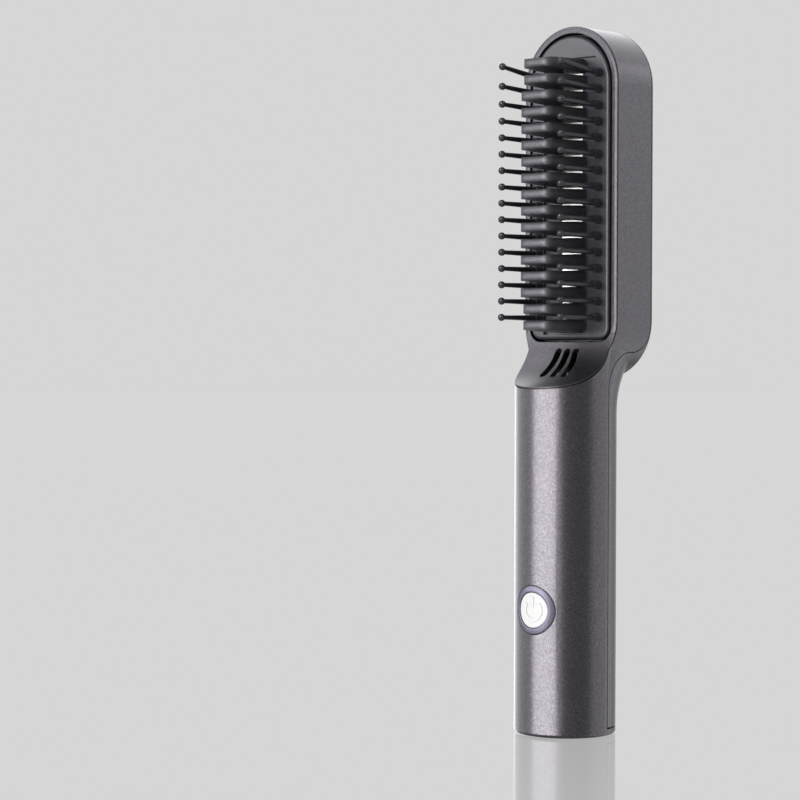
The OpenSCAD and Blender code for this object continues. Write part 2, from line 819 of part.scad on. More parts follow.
// Bed of the comb as a solid block, rounded along its front edge
module bed_block() {
  r = recess_r - groove_w;
  c = recess_corner - groove_w;
  side_low_z = recess_low_z + recess_corner;
  translate([0, 0, head_high_z]) rotate([-90, 0, 0]) rotate_extrude()
    edge_profile(r, border_y, ledge_y, border_fillet, 0);
  translate([0, 0, side_low_z]) linear_extrude(height = head_high_z - side_low_z)
    for (s = [0, 1]) mirror([s, 0]) edge_profile(r, border_y, ledge_y, border_fillet, 0);
  for (s = [-1, 1]) translate([s * (r - c), 0, side_low_z]) rotate([-90, 0, 0]) rotate_extrude()
    edge_profile(c, border_y, ledge_y, border_fillet, 0);
  translate([0, 0, side_low_z]) rotate([0, 90, 0]) linear_extrude(height = 2 * (r - c), center = true)
    edge_profile(c, border_y, ledge_y, border_fillet, 0);
}

function pin_z(k) = tooth_low_z + (k + 0.5) * row_pitch;

module comb_base() color("#1e1d22") difference() {
  union() {
    difference() {
      bed_block();
      along_y(bed_back_y, ledge_y + 1) recess(groove_w + bed_wall);
      block([-channel_x, border_y - 1, channel_low_z], [channel_x, bed_y, channel_high_z]);
    }
    difference() {
      along_y(flange_y, ledge_y) {
        recess(0.1);
        translate([-flange_tab_w / 2, recess_low_z - flange_tab_h])
          square([flange_tab_w, 2 * flange_tab_h]);
      }
      along_y(flange_y - 1, ledge_y + 1) recess(groove_w + bed_wall);
    }
    comb_bosses();
  }
  block([-window_w / 2, bed_y - 1, window_low_z], [window_w / 2, bed_back_y + 1, window_high_z]);
  for (x = [-1, 1], k = [0 : tooth_n - 2])
    rod_y(x * pin_span / 2, pin_z(k), shank_d / 2 + thread_gap, border_y - 1, bed_back_y + 1);
  for (s = comb_screws)
    rod_y(s[0], s[1], small_d / 2 + thread_gap, ledge_y - 3, ledge_y + 1);
}

module heater_plate() color("#d8d4ca") difference() {
  union() {
    block([-window_w / 2 + slip, plate_y, window_low_z + slip],
      [window_w / 2 - slip, bed_back_y + 0.2, window_high_z - slip]);
    block([-plate_w / 2, bed_back_y, window_low_z - plate_margin],
      [plate_w / 2, plate_back_y, window_high_z + plate_margin]);
  }
  for (k = [0 : tooth_n - 1]) {
    z = tooth_low_z + k * row_pitch;
    block([-window_w / 2 + tongue_inset - thread_gap, plate_y - 1, z - tongue_t / 2 - thread_gap],
      [window_w / 2 - tongue_inset + thread_gap, plate_y + tongue_d + thread_gap,
        z + tongue_t / 2 + thread_gap]);
  }
  for (p = clamp_points())
    rod_y(p[0], p[1], small_d / 2 + thread_gap, plate_back_y - 1.8, plate_back_y + 1);
}

// One tooth: a wedge in side view, rounded at its nose and along its sides, with a seating tongue
module tooth(z, front_y, front_w) {
  nose_y = front_y + nose_edge_r;
  nose_z = tooth_front_t / 2;
  side_r = tooth_root_t / 2 + 0.1;
  intersection() {
    along_y(front_y - 1, bed_y + 1) translate([0, z]) {
      square([tooth_root_w - 2 * side_r, 2 * side_r], center = true);
      for (s = [-1, 1]) translate([s * (tooth_root_w / 2 - side_r), 0]) circle(side_r);
    }
    translate([0, 0, z - tooth_root_t]) linear_extrude(height = 2 * tooth_root_t) {
      polygon([
        [-tooth_root_w / 2, bed_y], [-front_w / 2, front_y + tooth_corner],
        [front_w / 2, front_y + tooth_corner], [tooth_root_w / 2, bed_y]
      ]);
      for (s = [-1, 1])
        translate([s * (front_w / 2 - tooth_corner), front_y + tooth_corner]) circle(tooth_corner);
      translate([-front_w / 2 + tooth_corner, front_y])
        square([front_w - 2 * tooth_corner, tooth_corner + 0.1]);
    }
    translate([0, 0, z]) along_x(2 * tooth_root_w) {
      polygon([
        [nose_y, -nose_z], [bed_y, -tooth_root_t / 2], [bed_y, tooth_root_t / 2], [nose_y, nose_z]
      ]);
      translate([front_y, nose_edge_r - nose_z])
        square([nose_edge_r + 0.1, 2 * (nose_z - nose_edge_r)]);
      for (s = [-1, 1]) translate([nose_y, s * (nose_z - nose_edge_r)]) circle(nose_edge_r);
    }
  }
  block([-window_w / 2 + tongue_inset, bed_y - 0.2, z - tongue_t / 2],
    [window_w / 2 - tongue_inset, plate_y + tongue_d, z + tongue_t / 2]);
}

module comb_teeth() color("#17161a")
  for (k = [0 : tooth_n - 1]) {
    at_end = k < 2 || k > tooth_n - 3;
    tooth(tooth_low_z + k * row_pitch, (at_end ? tooth_end_back : 0) - tooth_reach,
      at_end ? tooth_end_w : tooth_front_w);
  }

// One guard pin: rivet foot, shank, collar, tapered pin and ball tip
module guard_pin(x, z, splay) {
  shaft = pin_reach + bed_y - collar_len;
  translate([x, 0, z]) {
    rod_y(0, 0, shank_d / 2 + rivet_w, bed_back_y, bed_back_y + rivet_t);
    rod_y(0, 0, shank_d / 2, border_y - 0.2, bed_back_y + 0.1);
    rod_y(0, 0, collar_d / 2, bed_y - collar_len, border_y);
    translate([0, bed_y - collar_len, 0]) rotate([90 - splay, 0, 0]) {
      translate([0, 0, -0.5]) cylinder(r = pin_root_d / 2, h = 0.5);
      cylinder(r1 = pin_root_d / 2, r2 = pin_tip_d / 2, h = shaft);
      translate([0, 0, shaft]) sphere(ball_d / 2);
    }
  }
}

module guard_pins(side) {
  for (k = [0 : tooth_n - 2])
    guard_pin(side * pin_span / 2, pin_z(k), top_splay * pow(0.45, tooth_n - 2 - k));
}

module guard_pins_left() color("#232228") guard_pins(-1);

module guard_pins_right() color("#232228") guard_pins(1);

module ceramic_heater() color("#e9e3d6") {
  block([-heater_w / 2, plate_back_y, heater_low_z],
    [heater_w / 2, heater_back_y, heater_low_z + heater_len]);
  for (s = [-1, 1])
    block([s * terminal_x - terminal_w / 2, lead_end_y - terminal_t / 2, heater_low_z - terminal_len],
      [s * terminal_x + terminal_w / 2, lead_end_y + terminal_t / 2, heater_low_z + 1]);
}

module insulating_sheet() color("#b8a98c")
  block([-heater_w / 2 - 0.4, heater_back_y, heater_low_z + 1.4],
    [heater_w / 2 + 0.4, mica_back_y, heater_low_z + heater_len + 0.6]);

function clamp_points() = [for (x = [-1, 1], z = [-1, 1])
  [x * clamp_screw_x, window_mid_z + z * clamp_span / 2]];

module heater_clamp() color("#a9abae") difference() {
  union() {
    block([-clamp_bar_w / 2, mica_back_y, window_mid_z - clamp_span / 2 - clamp_arm_w / 2],
      [clamp_bar_w / 2, clamp_back_y, window_mid_z + clamp_span / 2 + clamp_arm_w / 2]);
    for (z = [-1, 1]) translate([0, 0, window_mid_z + z * clamp_span / 2 - clamp_arm_w / 2]) {
      riser = clamp_foot_x - clamp_foot_w / 2;
      block([-riser, mica_back_y, 0], [riser, clamp_back_y, clamp_arm_w]);
      for (s = [-1, 1]) {
        block([s * riser - clamp_t / 2, plate_back_y, 0],
          [s * riser + clamp_t / 2, clamp_back_y, clamp_arm_w]);
        block([s * clamp_foot_x - clamp_foot_w / 2, plate_back_y, 0],
          [s * clamp_foot_x + clamp_foot_w / 2, plate_back_y + clamp_t, clamp_arm_w]);
      }
    }
  }
  for (p = clamp_points())
    rod_y(p[0], p[1], small_d / 2 + thread_gap, plate_back_y - 1, plate_back_y + 3);
}

module temperature_sensor() color("#c9742e") translate([sensor_x, sensor_y, window_mid_z]) {
  cylinder(d = sensor_d, h = sensor_len, center = true);
  for (s = [-1, 1]) translate([0, 0, s * sensor_len / 2]) sphere(d = sensor_d);
}

module thermal_fuse() color("#c8c9cc")
  translate([-sensor_x, plate_back_y + fuse_d / 2, window_mid_z]) {
    cylinder(d = fuse_d, h = fuse_len, center = true);
    cylinder(d = fuse_wire_d, h = fuse_len + 2 * fuse_wire_len, center = true);
  }

// Unit vector along v
function unit(v) = v / norm(v);

// Direction of the wire at its i-th point
function along(p, i) = i == 0 ? unit(p[1] - p[0])
  : i == len(p) - 1 ? unit(p[i] - p[i - 1])
  : unit(unit(p[i] - p[i - 1]) + unit(p[i + 1] - p[i]));

// Points of a smooth route: each inner corner is cut in three by its neighbours
function eased(p) = [for (i = [0 : len(p) - 1]) each i == 0 || i == len(p) - 1 ? [p[i]]
  : [0.75 * p[i] + 0.25 * p[i - 1], 0.75 * p[i] + 0.25 * p[i + 1]]];

// Wire of diameter d swept along the route with eight sides
module wire(route, d) {
  p = eased(eased(route));
  n = 8;
  rings = [for (i = [0 : len(p) - 1])
    let (t = along(p, i), u = unit(cross(t, [1, 0.2, 0.1])), v = cross(t, u))
    for (j = [0 : n - 1]) p[i] + d / 2 * (cos(j * 360 / n) * u + sin(j * 360 / n) * v)];
  sides = [for (i = [0 : len(p) - 2], j = [0 : n - 1])
    [i * n + j, (i + 1) * n + j, (i + 1) * n + (j + 1) % n, i * n + (j + 1) % n]];
  ends = [[for (j = [0 : n - 1]) j], [for (j = [n - 1 : -1 : 0]) (len(p) - 1) * n + j]];
  polyhedron(rings, concat(sides, ends));
}

module heater_leads() color("#c9c5bd")
  for (s = [-1, 1])
    wire([
      [s * lead_x, lead_y, lead_start_z],
      [s * lead_x, lead_y, lead_bend_z],
      [s * neck_lead_x, -2, lead_bend_z + lead_d * 2.4],
      [s * neck_lead_x, neck_lead_y, lead_bend_z + lead_d * 7.4],
      [s * (neck_lead_x + terminal_x) / 2, ledge_back_y + 2.1 * lead_d, seam_top_z - 2.1 * lead_d],
      [s * terminal_x, ledge_back_y + 1.7 * lead_d, heater_low_z - terminal_len - 2.4 * lead_d],
      [s * terminal_x, lead_end_y, heater_low_z - terminal_len - 1.3 * lead_d],
      [s * terminal_x, lead_end_y, heater_low_z - terminal_len - 0.05]
    ], lead_d);

module sensor_leads() color("#8d8f93")
  for (s = [-1, 1])
    wire([
      [s * sensor_lead_x, lead_y, lead_start_z],
      [s * sensor_lead_x, lead_y, lead_bend_z],
      [s * (neck_lead_x - 2 * lead_d), -2, lead_bend_z + lead_d * 2.4],
      [s * (neck_lead_x - 2 * lead_d), neck_lead_y, lead_bend_z + lead_d * 7.4],
      [s * sensor_lead_x, ledge_back_y + 2.1 * lead_d, seam_top_z - 2.1 * lead_d],
      [s * sensor_lead_x, clamp_back_y + 2 * sensor_lead_d, heater_low_z + sensor_len],
      [s * sensor_lead_x, clamp_back_y + 2 * sensor_lead_d, window_mid_z - 3.6 * sensor_len],
      [sensor_x + s * sensor_d / 4, clamp_back_y + 2 * sensor_lead_d, window_mid_z - 2.2 * sensor_len],
      [sensor_x + s * sensor_d / 4, sensor_y, window_mid_z - 1.4 * sensor_len],
      [sensor_x + s * sensor_d / 4, sensor_y, window_mid_z - sensor_len / 2 - sensor_d / 2 - 0.1]
    ], sensor_lead_d);

module battery_cell() color("#2f6fa8") {
  translate([0, cell_y, cell_z]) {
    rotate_extrude() edge_profile(cell_r, 0, cell_len - 0.6, cell_fillet, cell_fillet);
    translate([0, 0, cell_len - cell_cap_h]) cylinder(d = cell_cap_d, h = cell_cap_h);
  }
}

module battery_cradle() color("#2a2a2e") {
  low_z = cell_z - tab_t - cradle_end_t;
  high_z = cell_top_z + tab_t;
  difference() {
    translate([0, cell_y, low_z]) cylinder(r = cell_r + slip + cradle_t, h = high_z - low_z + 0.4);
    translate([0, cell_y, low_z - 1]) cylinder(r = cell_r + slip, h = far * 2);
    block([-far, cell_y - cradle_side, 0], [far, far, total_h]);
    for (z = [low_z, cell_top_z]) block([-tab_w / 2 - slip, -far, z - 1],
      [tab_w / 2 + slip, cell_y, z + 1 + cradle_end_t + tab_t]);
  }
  for (z = [low_z, high_z]) difference() {
    translate([0, 0, z]) cylinder(r = bore_r - slip, h = cradle_end_t);
    block([-far, -far, z - 1], [far, board_back_y + 0.4, z + 3]);
    translate([0, 0, z - 1]) linear_extrude(height = 4) difference() {
      circle(bore_r + 1);
      circle(bore_r - 2 * slip - seam_lip_t);
      translate([-far, seam_y + 2.6]) square([2 * far, far]);
    }
    if (z == high_z) translate([0, cell_y, z - 1]) cylinder(d = cell_cap_d + 1, h = 4);
  }
}

// Welded strips that join the cell to the board
module battery_tabs() color("#c6c2b4") {
  block([-tab_w / 2, board_back_y, cell_top_z - tab_leg],
    [tab_w / 2, board_back_y + tab_t, cell_top_z]);
  block([-tab_w / 2, board_back_y, cell_top_z], [tab_w / 2, cell_y + 5, cell_top_z + tab_t]);
  block([-tab_w / 2, board_back_y, cell_z - tab_t],
    [tab_w / 2, board_back_y + tab_t, cell_z + tab_leg]);
  block([-tab_w / 2, board_back_y, cell_z - tab_t], [tab_w / 2, cell_y + 5, cell_z]);
}

module control_board() color("#2b6b45") difference() {
  block([-board_w / 2, board_y, board_z], [board_w / 2, board_back_y, board_top_z]);
  for (z = board_screws) rod_y(0, z, small_d / 2 + thread_gap, board_y - 1, board_back_y + 1);
  // The lowest screw boss of the shell passes through the board
  rod_y(0, foot_screw_z, shell_boss_r + slip, board_y - 1, board_back_y + 1);
}

// Coil, power transistor, charge controller and microcontroller, between the screws and the switch
module board_components() color("#1b1b1d") {
  power_z = (button_z + button_boss_r + board_screws[1] - board_boss_r) / 2;
  chip_z = (foot_screw_z + board_screws[0]) / 2;
  for (c = [[-coil_w, power_z, coil_h], [coil_w, power_z, chip_h], [chip_w * 1.1, chip_z, chip_h],
      [-chip_w, board_screws[0], chip_h]])
    translate([c[0], board_y - c[2] / 2, c[1]]) cube([chip_w, c[2], chip_w], center = true);
}

module lead_connector() color("#ece7da") difference() {
  translate([-connector_w / 2, board_y - connector_t, connector_z])
    cube([connector_w, connector_t, connector_h]);
  for (x = [lead_x, sensor_lead_x], s = [-1, 1])
    translate([s * x, lead_y, socket_z + socket_w * 1.5])
      cube([socket_w, socket_w, socket_w * 3], center = true);
}

module tact_switch() color("#2d2d31") difference() {
  block([-switch_w / 2, switch_front_y, button_z - switch_w / 2],
    [switch_w / 2, board_y, button_z + switch_w / 2]);
  rod_y(0, button_z, plunger_d / 2 + 0.1, switch_front_y - 1, board_y - 0.6);
}

module status_leds() color("#f4f1c8")
  for (s = [-1, 1])
    translate([0, board_y - led_size[1] / 2, button_z + s * (switch_w / 2 + led_gap)])
      cube(led_size, center = true);

module charging_socket() color("#c3c5c8") translate([0, usb_y, usb_low_z]) difference() {
  linear_extrude(height = usb_len) usb_outline(0);
  translate([0, 0, -1]) linear_extrude(height = usb_len) difference() {
    usb_outline(usb_wall);
    square([usb_w - usb_t + usb_tongue_t, usb_tongue_t], center = true);
  }
}

module usb_outline(d) {
  w = usb_w - 2 * d;
  t = usb_t - 2 * d;
  square([w - t, t], center = true);
  for (s = [-1, 1]) translate([s * (w - t) / 2, 0]) circle(t / 2);
}

// Round plug of radius r through the front of the handle, its face following the handle
module curved_plug(r, proud, y1) {
  intersection() {
    cylinder(r = handle_r + proud, h = 2 * button_z);
    rod_y(0, button_z, r, -far, y1);
  }
}

// The front of the ring is barrel-shaped: crowned across and along the handle, so that its
// outer edge lies in the surface of the handle
module button_ring() color("#4c4759") difference() {
  intersection() {
    translate([0, ring_side_r - handle_r - ring_crown, button_z]) rotate_extrude() intersection() {
      translate([ring_side_r - ring_long_r, 0]) circle(ring_long_r, $fn = 96);
      translate([0, -ring_d]) square([ring_side_r + 1, 2 * ring_d]);
    }
    rod_y(0, button_z, ring_d / 2, -far, ring_seat_y);
  }
  rod_y(0, button_z, ring_in_d / 2, -far, far);
  rod_y(0, button_z, cap_d / 2 + cap_flange_w + cap_gap, ring_step_y, far);
}

// Standard power symbol: an open circle and a bar
module power_symbol() {
  difference() {
    circle(symbol_r);
    circle(symbol_r - symbol_line);
    polygon([[0, 0], [far * sin(symbol_gap), far * cos(symbol_gap)],
      [-far * sin(symbol_gap), far * cos(symbol_gap)]]);
  }
  for (end = symbol_bar) translate([0, end]) circle(symbol_line / 2);
  translate([-symbol_line / 2, symbol_bar[0]])
    square([symbol_line, symbol_bar[1] - symbol_bar[0]]);
}

// Cap that follows the handle's surface, its flange and pusher, and the raised symbol
module power_button() color("#f4f4f2") {
  curved_plug(cap_d / 2, cap_proud, cap_back_y + 0.2);
  rod_y(0, button_z, cap_d / 2 + cap_flange_w, cap_back_y, cap_back_y + cap_flange_t);
  rod_y(0, button_z, pusher_r, cap_back_y, plunger_front_y);
  intersection() {
    translate([0, 0, button_z]) along_y(cap_front_y - 1, cap_back_y - 1) power_symbol();
    cylinder(r = handle_r + cap_proud + symbol_h, h = 2 * button_z);
  }
}

module switch_plunger() color("#8a8a8e")
  rod_y(0, button_z, plunger_d / 2, plunger_front_y, switch_front_y + 2.2);

// Pan-head screw with a cross recess, its seat at y and its point towards -Y
module screw(x, y, z, d, head_d, head_t, l) {
  difference() {
    union() {
      rod_y(x, z, head_d / 2, y, y + head_t);
      rod_y(x, z, d / 2, y - l, y + 0.1);
    }
    for (a = [0, 90]) translate([x, y + head_t, z]) rotate([0, a, 0])
      cube([head_d * 0.62, head_t, head_d * 0.16], center = true);
  }
}

module shell_screws() color("#3a3a3f")
  for (s = shell_screws)
    screw(s[0], s[2], s[1], screw_d, screw_head_d, head_h * 1.25, shell_web + shell_grip);

module comb_screws() color("#8f9194")
  for (s = comb_screws)
    screw(s[0], ledge_back_y, s[1], small_d, small_head_d, head_h, ledge_t + comb_grip);

module frame_screws() color("#8f9194")
  for (s = [-1, 1])
    screw(s * frame_screw_x, bridge_y + bridge_t, frame_screw_z, small_d, small_head_d, head_h,
      bridge_t + frame_grip);

module clamp_screws() color("#8f9194")
  for (p = clamp_points())
    screw(p[0], plate_back_y + clamp_t, p[1], small_d, small_head_d * 0.8, head_h * 0.85,
      clamp_t + clamp_grip);

module board_screws() color("#8f9194")
  for (z = board_screws) screw(0, board_back_y, z, small_d, small_head_d, head_h * 0.9, board_t + board_grip);

front_shell();
rear_cover();
front_frame();
comb_base();
heater_plate();
comb_teeth();
guard_pins_left();
guard_pins_right();
ceramic_heater();
insulating_sheet();
heater_clamp();
temperature_sensor();
thermal_fuse();
heater_leads();
sensor_leads();
battery_cell();
battery_cradle();
battery_tabs();
control_board();
board_components();
lead_connector();
tact_switch();
status_leds();
charging_socket();
button_ring();
power_button();
switch_plunger();
shell_screws();
comb_screws();
frame_screws();
clamp_screws();
board_screws();
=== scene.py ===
from math import cos, hypot, pi, radians, sin

import bpy
from mathutils import Matrix, Vector

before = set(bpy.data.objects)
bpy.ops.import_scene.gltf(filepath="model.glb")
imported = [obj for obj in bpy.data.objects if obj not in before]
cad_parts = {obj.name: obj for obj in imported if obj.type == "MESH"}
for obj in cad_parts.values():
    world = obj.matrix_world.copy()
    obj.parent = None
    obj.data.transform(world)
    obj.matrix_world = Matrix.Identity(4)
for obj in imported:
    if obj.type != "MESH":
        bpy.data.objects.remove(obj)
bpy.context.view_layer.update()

MM = 0.001


# Materials

# Sizes of the textures, in features per metre
FLAKE_SCALE = 3300.0
DRAWN_SCALE = 4000.0
WEAR_SCALE = 60.0

# How deep the relief in the surfaces goes
FLAKE_DEPTH = 0.06 * MM
GRAIN_DEPTH = 0.04 * MM
COARSE_DEPTH = 0.10 * MM
DRAWN_DEPTH = 0.02 * MM

# How far the power symbol stands up from the cap, and the colour of the painted shade on its
# walls
SYMBOL_H = 0.15 * MM
SYMBOL_WALL_SHADE = (0.05, 0.05, 0.06)

WHITE = (1, 1, 1)
GUNMETAL = (0.050, 0.0475, 0.0515)


def new_material(name):
    mat = bpy.data.materials.new(name)
    mat.use_nodes = True
    tree = mat.node_tree
    return mat, tree, tree.nodes["Principled BSDF"]


def node(tree, kind, **inputs):
    made = tree.nodes.new(kind)
    for key, value in inputs.items():
        made.inputs[key.replace("_", " ")].default_value = value
    return made


def object_coords(tree):
    return tree.nodes.new("ShaderNodeTexCoord").outputs["Object"]


def vector_math(tree, operation, first, second=None):
    made = tree.nodes.new("ShaderNodeVectorMath")
    made.operation = operation
    tree.links.new(first, made.inputs[0])
    if second is not None:
        tree.links.new(second, made.inputs[1])
    return made


def noise(tree, scale, detail=3.0, rough=0.5, coords=None):
    made = node(tree, "ShaderNodeTexNoise", Scale=scale, Detail=detail, Roughness=rough)
    tree.links.new(coords or object_coords(tree), made.inputs["Vector"])
    return made.outputs["Fac"]


def ramp(tree, value, stops):
    made = tree.nodes.new("ShaderNodeValToRGB")
    elements = made.color_ramp.elements
    while len(elements) < len(stops):
        elements.new(0.5)
    for element, (place, color) in zip(elements, stops):
        element.position = place
        element.color = (*color, 1.0)
    tree.links.new(value, made.inputs["Fac"])
    return made.outputs["Color"]


def span(tree, value, low, high, start=0.0, end=1.0):
    """Value from start to end, spread over low to high."""
    made = node(tree, "ShaderNodeMapRange", From_Min=start, From_Max=end, To_Min=low, To_Max=high)
    tree.links.new(value, made.inputs["Value"])
    return made.outputs["Result"]


def bump(tree, shader, height, strength, distance, edge=0.0):
    """Fine relief, over edges that are rounded to the radius edge."""
    made = node(tree, "ShaderNodeBump", Strength=strength, Distance=distance)
    tree.links.new(height, made.inputs["Height"])
    tree.links.new(made.outputs["Normal"], shader.inputs["Normal"])
    if edge:
        soft = node(tree, "ShaderNodeBevel", Radius=edge)
        soft.samples = 6
        tree.links.new(soft.outputs["Normal"], made.inputs["Normal"])


def metallic_paint(name, color, rough=0.28, flake=1.0, edge=0.35 * MM):
    """Satin paint with fine metal flakes that differ a little in tone and tilt."""
    mat, tree, shader = new_material(name)
    cells = node(tree, "ShaderNodeTexVoronoi", Scale=FLAKE_SCALE)
    tree.links.new(object_coords(tree), cells.inputs["Vector"])
    grey = tree.nodes.new("ShaderNodeSeparateColor")
    tree.links.new(cells.outputs["Color"], grey.inputs["Color"])
    dark = tuple(c * (1 - 0.25 * flake) for c in color)
    light = tuple(min(1.0, c * (1 + 0.35 * flake)) for c in color)
    tree.links.new(ramp(tree, grey.outputs["Red"], [(0.0, dark), (0.6, color), (1.0, light)]),
                   shader.inputs["Base Color"])
    tree.links.new(span(tree, noise(tree, WEAR_SCALE), rough - 0.03, rough + 0.03),
                   shader.inputs["Roughness"])
    shader.inputs["Metallic"].default_value = 0.95
    bump(tree, shader, grey.outputs["Green"], 0.16 * flake, FLAKE_DEPTH, edge)
    return mat


def grained(name, color, rough, spread=0.25, scale=2600.0, depth=GRAIN_DEPTH, metal=0.0,
            strength=0.3, spec=0.5, edge=0.0):
    """Plain stuff with a fine grain in its tone and surface."""
    mat, tree, shader = new_material(name)
    grain = noise(tree, scale, 4.0, 0.6)
    dark = tuple(c * (1 - spread) for c in color)
    light = tuple(min(1.0, c * (1 + spread)) for c in color)
    tree.links.new(ramp(tree, grain, [(0.3, dark), (0.7, light)]), shader.inputs["Base Color"])
    tree.links.new(span(tree, noise(tree, scale / 12), rough - 0.05, rough + 0.05),
                   shader.inputs["Roughness"])
    shader.inputs["Metallic"].default_value = metal
    shader.inputs["Specular IOR Level"].default_value = spec
    bump(tree, shader, grain, strength, depth, edge)
    return mat


def brushed(name, color, rough):
    """Metal with marks drawn along the Z axis."""
    mat, tree, shader = new_material(name)
    stretch = node(tree, "ShaderNodeMapping", Scale=(1.0, 1.0, 0.04))
    tree.links.new(object_coords(tree), stretch.inputs["Vector"])
    lines = noise(tree, DRAWN_SCALE, 3.0, 0.6, stretch.outputs["Vector"])
    dark = tuple(c * 0.85 for c in color)
    tree.links.new(ramp(tree, lines, [(0.3, dark), (0.7, color)]), shader.inputs["Base Color"])
    tree.links.new(span(tree, lines, rough - 0.06, rough + 0.08), shader.inputs["Roughness"])
    shader.inputs["Metallic"].default_value = 1.0
    bump(tree, shader, lines, 0.15, DRAWN_DEPTH)
    return mat


def reach_from_axis(piece):
    """How far the farthest point of a piece lies from the Z axis."""
    return max(hypot(corner.co.x, corner.co.y) for corner in piece.data.vertices)


def paint_symbol_wall_shade(mat, top_r, height, shade):
    """Painted shade on the walls of a symbol whose top lies at top_r from the Z axis: the colour
    darkens between top_r - height and top_r.
    """
    tree, shader = mat.node_tree, mat.node_tree.nodes["Principled BSDF"]
    plain = shader.inputs["Base Color"].links[0].from_socket
    flat = vector_math(tree, "MULTIPLY", object_coords(tree))
    flat.inputs[1].default_value = (1, 1, 0)
    reach = vector_math(tree, "LENGTH", flat.outputs["Vector"])
    rise = span(tree, reach.outputs["Value"], 0.0, 1.0, top_r - height, top_r)
    # Painted shade: the symbol's walls are darkened in the base colour, while its top and the cap
    # around stay white
    painted_wall_shade = ramp(tree, rise, [(0.05, WHITE), (0.15, shade), (0.70, shade), (0.80, WHITE)])
    with_painted_shade = vector_math(tree, "MULTIPLY", plain, painted_wall_shade)
    tree.links.new(with_painted_shade.outputs["Vector"], shader.inputs["Base Color"])


mats = {
    "front_shell": metallic_paint("shell_paint", GUNMETAL),
    "rear_cover": metallic_paint("cover_paint", GUNMETAL),
    "front_frame": metallic_paint("frame_paint", GUNMETAL, 0.40, 0.9),
    "comb_base": grained("bed_plastic", (0.007, 0.007, 0.010), 0.38, 0.5, 2300.0, COARSE_DEPTH,
                         strength=0.9, spec=0.45, edge=0.15 * MM),
    "heater_plate": grained("plate_aluminium", (0.93, 0.90, 0.84), 0.30, 0.06, 900.0, metal=1.0),
    "comb_teeth": grained("tooth_coating", (0.020, 0.019, 0.024), 0.42, 0.5, 1700.0, COARSE_DEPTH,
                          strength=1.0, spec=0.75, edge=2.6 * MM),
    "guard_pins_left": grained("pin_nylon", (0.022, 0.021, 0.027), 0.20, 0.15, 1500.0),
    "ceramic_heater": grained("heater_ceramic", (0.80, 0.77, 0.68), 0.55, 0.06),
    "insulating_sheet": grained("mica_sheet", (0.48, 0.40, 0.28), 0.35, 0.25, 700.0),
    "heater_clamp": brushed("spring_steel", (0.56, 0.57, 0.58), 0.3),
    "temperature_sensor": grained("sensor_resin", (0.55, 0.16, 0.04), 0.22, 0.1),
    "thermal_fuse": brushed("fuse_metal", (0.66, 0.67, 0.68), 0.25),
    "heater_leads": grained("silicone_white", (0.62, 0.60, 0.55), 0.5, 0.06),
    "sensor_leads": grained("silicone_grey", (0.24, 0.24, 0.26), 0.5, 0.06),
    "battery_cell": grained("cell_wrap", (0.03, 0.14, 0.34), 0.22, 0.06, 500.0),
    "battery_cradle": grained("cradle_plastic", (0.018, 0.018, 0.02), 0.5),
    "battery_tabs": brushed("nickel_strip", (0.62, 0.59, 0.52), 0.28),
    "control_board": grained("board_green", (0.01, 0.10, 0.045), 0.3, 0.15, 900.0),
    "board_components": grained("component_black", (0.012, 0.012, 0.013), 0.5),
    "lead_connector": grained("connector_ivory", (0.70, 0.66, 0.55), 0.45, 0.05),
    "tact_switch": grained("switch_black", (0.02, 0.02, 0.022), 0.45),
    "status_leds": grained("led_lens", (0.86, 0.83, 0.6), 0.15, 0.03),
    "charging_socket": brushed("socket_steel", (0.62, 0.63, 0.65), 0.25),
    "button_ring": metallic_paint("ring_plating", (0.098, 0.092, 0.120), 0.48, 0.3, 1.0 * MM),
    "power_button": grained("button_white", (0.86, 0.86, 0.85), 0.32, 0.02, 1200.0,
                            edge=0.2 * MM),
    "switch_plunger": grained("plunger_grey", (0.22, 0.22, 0.23), 0.5),
    "shell_screws": brushed("screw_black", (0.05, 0.05, 0.055), 0.35),
    "comb_screws": brushed("screw_steel", (0.40, 0.41, 0.42), 0.3),
}
for copy, source in (("guard_pins_right", "guard_pins_left"), ("frame_screws", "comb_screws"),
                     ("clamp_screws", "comb_screws"), ("board_screws", "comb_screws")):
    mats[copy] = mats[source]

# Painted shade on the walls of the raised power symbol
paint_symbol_wall_shade(mats["power_button"], reach_from_axis(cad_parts["power_button"]),
               SYMBOL_H, SYMBOL_WALL_SHADE)

for name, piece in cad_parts.items():
    piece.data.materials.clear()
    piece.data.materials.append(mats[name])


# Stage: one even grey all round, and a floor of that grey with a faint mirror finish

GREY = (0.672, 0.672, 0.672, 1)
FLOOR_REACH = 9


def floor_finish():
    mat, tree, shader = new_material("floor_grey")
    glow = node(tree, "ShaderNodeEmission", Color=GREY)
    gloss = node(tree, "ShaderNodeBsdfGlossy", Color=(*WHITE, 1), Roughness=0.04)
    share = node(tree, "ShaderNodeFresnel", IOR=1.4)
    blend = tree.nodes.new("ShaderNodeMixShader")
    tree.links.new(share.outputs["Fac"], blend.inputs[0])
    tree.links.new(glow.outputs["Emission"], blend.inputs[1])
    tree.links.new(gloss.outputs["BSDF"], blend.inputs[2])
    tree.links.new(blend.outputs["Shader"], tree.nodes["Material Output"].inputs["Surface"])
    tree.nodes.remove(shader)
    return mat


def square(name, reach):
    """Flat square in the ground plane, from -reach to reach each way."""
    corners = [(x * reach, y * reach, 0) for x, y in ((-1, -1), (1, -1), (1, 1), (-1, 1))]
    mesh = bpy.data.meshes.new(name)
    mesh.from_pydata(corners, [], [tuple(range(len(corners)))])
    made = bpy.data.objects.new(name, mesh)
    bpy.context.collection.objects.link(made)
    return made


floor = square("floor", FLOOR_REACH)
floor.data.materials.append(floor_finish())
floor.visible_glossy = False
floor.visible_shadow = False

